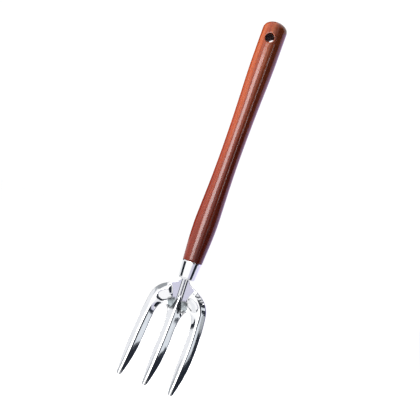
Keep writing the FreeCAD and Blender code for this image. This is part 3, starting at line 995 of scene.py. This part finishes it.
# What the polished steel and the lacquer reflect. Each row is a screen's name, first and last
# azimuth, lower and upper edge, colour, strength and distance. Directions are degrees from the
# tool's middle, with azimuths from the camera's own. The darkest flags are a faint blue.
SCREENS = [
    ("tent", (-180, 180), (-89, 89), PALE, 0.94, 1.60),
    ("front_sheet", (-75, 12), (-21, 75), WHITE, 1.12, 1.40),
    ("low_sheet", (-62, 24), (-88, -21), WHITE, 1.05, 1.42),
    ("key_strip", (-42, -12), (-15, 23.2), WHITE, 9.0, 1.16),
    ("edge_strip", (36, 42), (6, 37), WHITE, 4.0, 0.50),
    ("crest_flag", (14, 27), (-12, 26), NIGHT, 0.03, 1.20),
    ("crest_side_flag", (27, 33), (-12, 20), NIGHT, 0.03, 1.20),
    ("crown_line", (14, 24), (30.5, 33), NIGHT, 0.05, 1.20),
    ("crown_side_line", (24, 33), (22.5, 24.8), NIGHT, 0.05, 1.20),
    ("top_flag", (4, 14), (29, 52), NIGHT, 0.03, 1.20),
    ("tip_flag", (33, 45), (8.0, 60), NIGHT, 0.03, 1.22),
    ("side_sheet", (33, 45), (-14, 8), GREY, 0.88, 1.24),
    ("shoulder_flag", (-84, -68), (6, 27), GREY, 0.38, 1.22),
    ("shoulder_low_flag", (-88, -84), (-0.5, 14), GREY, 0.50, 1.22),
    ("side_patch_flag", (43, 45), (1.6, 6), NIGHT, 0.05, 1.17),
    ("ferrule_sheet", (18, 44), (-21.6, -15.5), LAVENDER, 0.76, 1.23),
    ("inner_flag", (22, 42), (-15.5, -12), NIGHT, 0.05, 1.18),
    ("side_gap_sheet", (44, 53), (-4.5, -1.4), GREY, 0.50, 1.23),
    ("middle_patch_flag", (41.2, 44.9), (-9.0, -6.7), NIGHT, 0.05, 1.17),
    ("right_flag", (45, 80), (-89, 60), NIGHT, 0.03, 1.26),
    ("rim_flag", (80, 92), (-12, 60), NIGHT, 0.02, 1.26),
    ("left_flag", (-178, -116), (-7, 60), NIGHT, 0.02, 1.26),
    ("ferrule_flag", (-110, -70), (-19, -13), NIGHT, 0.03, 1.26),
    ("web_screen", (-37, -14), (-30.5, -24.3), LAVENDER, 0.82, 1.20),
    ("web_left_flag", (-60, -37), (-29, -23.5), NIGHT, 0.05, 1.19),
    ("web_right_flag", (-14, 6), (-31, -22), NIGHT, 0.05, 1.19),
    ("web_top_flag", (-37, -14), (-24.3, -22), GREY, 0.25, 1.19),
    ("web_low_flag", (-39, -13), (-33, -30.5), GREY, 0.30, 1.19),
    ("rib_flag", (6, 33), (-30, -22), NIGHT, 0.03, 1.19),
    ("right_screen", (80, 168), (-60, -12), LAVENDER, 0.90, 1.30),
    ("back_low_flag", (-178, -122), (-60, -20), GREY, 0.40, 1.30),
    ("rim_screen", (88, 172), (-12, 27), PURPLE, 1.45, 1.30),
]
# Degrees by which a screen's lower edge falls from its first azimuth to its last
FALLS = {"tip_flag": 5.5, "side_sheet": 5.0}

# Soft lights for the wood: name, direction, size and watts
LIGHTS = [
    ("key_light", (-72, 27), (0.9, 1.2), 27.0),
    ("fill_light", (18, -28), (1.2, 1.2), 3.2),
    ("back_light", (172, 12), (1.0, 1.2), 20.0),
    ("side_light", (118, 8), (0.9, 1.2), 7.0),
]


def around(azimuth, elevation, distance, centre=CENTRE):
    """A place round the tool. Azimuth is from its front, towards its right, in degrees."""
    a, e = math.radians(azimuth), math.radians(elevation)
    return centre + distance * Vector((math.sin(a) * math.cos(e), -math.cos(a) * math.cos(e),
                                       math.sin(e)))


def add_stage(name, verts, faces, material):
    """A piece of the studio, which is no part of the tool."""
    mesh = bpy.data.meshes.new(name)
    mesh.from_pydata(verts, [], faces)
    mesh.materials.append(material)
    piece = bpy.data.objects.new(name, mesh)
    bpy.context.collection.objects.link(piece)
    return piece


def glow(name, colour, strength):
    material = bpy.data.materials.new(name)
    material.use_nodes = True
    tree = material.node_tree
    tree.nodes.clear()
    emission = node(tree, "Emission", Color=(*colour, 1.0), Strength=strength)
    end = node(tree, "OutputMaterial")
    tree.links.new(emission.outputs["Emission"], end.inputs["Surface"])
    return material


def screen(name, azimuths, elevations, colour, strength, distance):
    """A curved glowing sheet round the tool, seen only in reflections."""
    columns = max(2, int((azimuths[1] - azimuths[0]) / SCREEN_COLUMN_WIDTH))
    verts = []
    for j in range(SCREEN_ROWS + 1):
        for i in range(columns + 1):
            across, up = i / columns, j / SCREEN_ROWS
            low = elevations[0] - FALLS.get(name, 0.0) * across
            azimuth = azimuths[0] + (azimuths[1] - azimuths[0]) * across
            verts.append(around(VIEW_AZIMUTH + azimuth, low + (elevations[1] - low) * up,
                                distance))
    corners = [j * (columns + 1) + i for j in range(SCREEN_ROWS) for i in range(columns)]
    faces = [(c, c + 1, c + columns + 2, c + columns + 1) for c in corners]
    piece = add_stage(name, verts, faces, glow(name, colour, strength))
    piece.visible_camera = False
    piece.visible_diffuse = False
    piece.visible_shadow = False
    piece.visible_transmission = False


def area_light(name, direction, size, power):
    """A soft light for the shading of the wood, with no reflection of its own."""
    data = bpy.data.lights.new(name, "AREA")
    data.shape = "RECTANGLE"
    data.size, data.size_y = size
    data.energy = power
    light = bpy.data.objects.new(name, data)
    light.location = around(VIEW_AZIMUTH + direction[0], direction[1], LIGHT_DISTANCE)
    light.rotation_euler = (CENTRE - light.location).to_track_quat("-Z", "Y").to_euler()
    light.visible_camera = False
    light.visible_glossy = False
    bpy.context.collection.objects.link(light)


def floor():
    """A plain pale floor a little below the tines, which hides its own shading in its glow."""
    angles = [2 * math.pi * i / FLOOR_SIDES for i in range(FLOOR_SIDES)]
    verts = [(FLOOR_RADIUS * math.cos(a), FLOOR_RADIUS * math.sin(a), CAD_BOX[0].z - FLOOR_DROP)
             for a in angles]
    material, _, shader = new_material("pale_floor")
    put(shader, Base_Color=(0.9, 0.9, 0.9, 1.0), Roughness=0.9, Specular_IOR_Level=0.0)
    put(shader, Emission_Color=(1.0, 1.0, 1.0, 1.0), Emission_Strength=1.0)
    piece = add_stage("studio_floor", verts, [tuple(range(FLOOR_SIDES))], material)
    piece.visible_diffuse = False
    piece.visible_glossy = False


def world():
    made = bpy.data.worlds.new("pale_studio")
    bpy.context.scene.world = made
    made.use_nodes = True
    put(made.node_tree.nodes["Background"], Color=(1.0, 1.0, 1.0, 1.0), Strength=WORLD_STRENGTH)
    made.cycles_visibility.diffuse = False


def camera():
    """The camera, a little to the right of the tool's front, rolled so that the tool leans."""
    data = bpy.data.cameras.new("camera")
    data.sensor_width = SENSOR_WIDTH
    data.lens = SENSOR_WIDTH * VIEW_DISTANCE / VIEW_WIDTH
    data.dof.use_dof = False
    made = bpy.data.objects.new("camera", data)
    aim = CENTRE + around(VIEW_AZIMUTH - 90, 0.0, VIEW_OFFSET, Vector())
    made.location = around(VIEW_AZIMUTH, 0.0, VIEW_DISTANCE, aim)
    facing = (aim - made.location).to_track_quat("-Z", "Y").to_matrix().to_4x4()
    roll = Matrix.Rotation(math.radians(VIEW_ROLL), 4, "Z")
    made.matrix_world = Matrix.Translation(made.location) @ facing @ roll
    bpy.context.collection.objects.link(made)
    bpy.context.scene.camera = made


# ---------------------------------------------------------------- the scene

steel = polished_steel()
wear(fork_head(), steel)
wear(ferrule(), steel)
handle()
wear(frame["nodes"]["tang"], bare_steel())
wear(frame["nodes"]["tang_welds"], weld_metal())
floor()
world()
for row in SCREENS:
    screen(*row)
for row in LIGHTS:
    area_light(*row)
camera()

bpy.context.scene.view_settings.view_transform = "Standard"
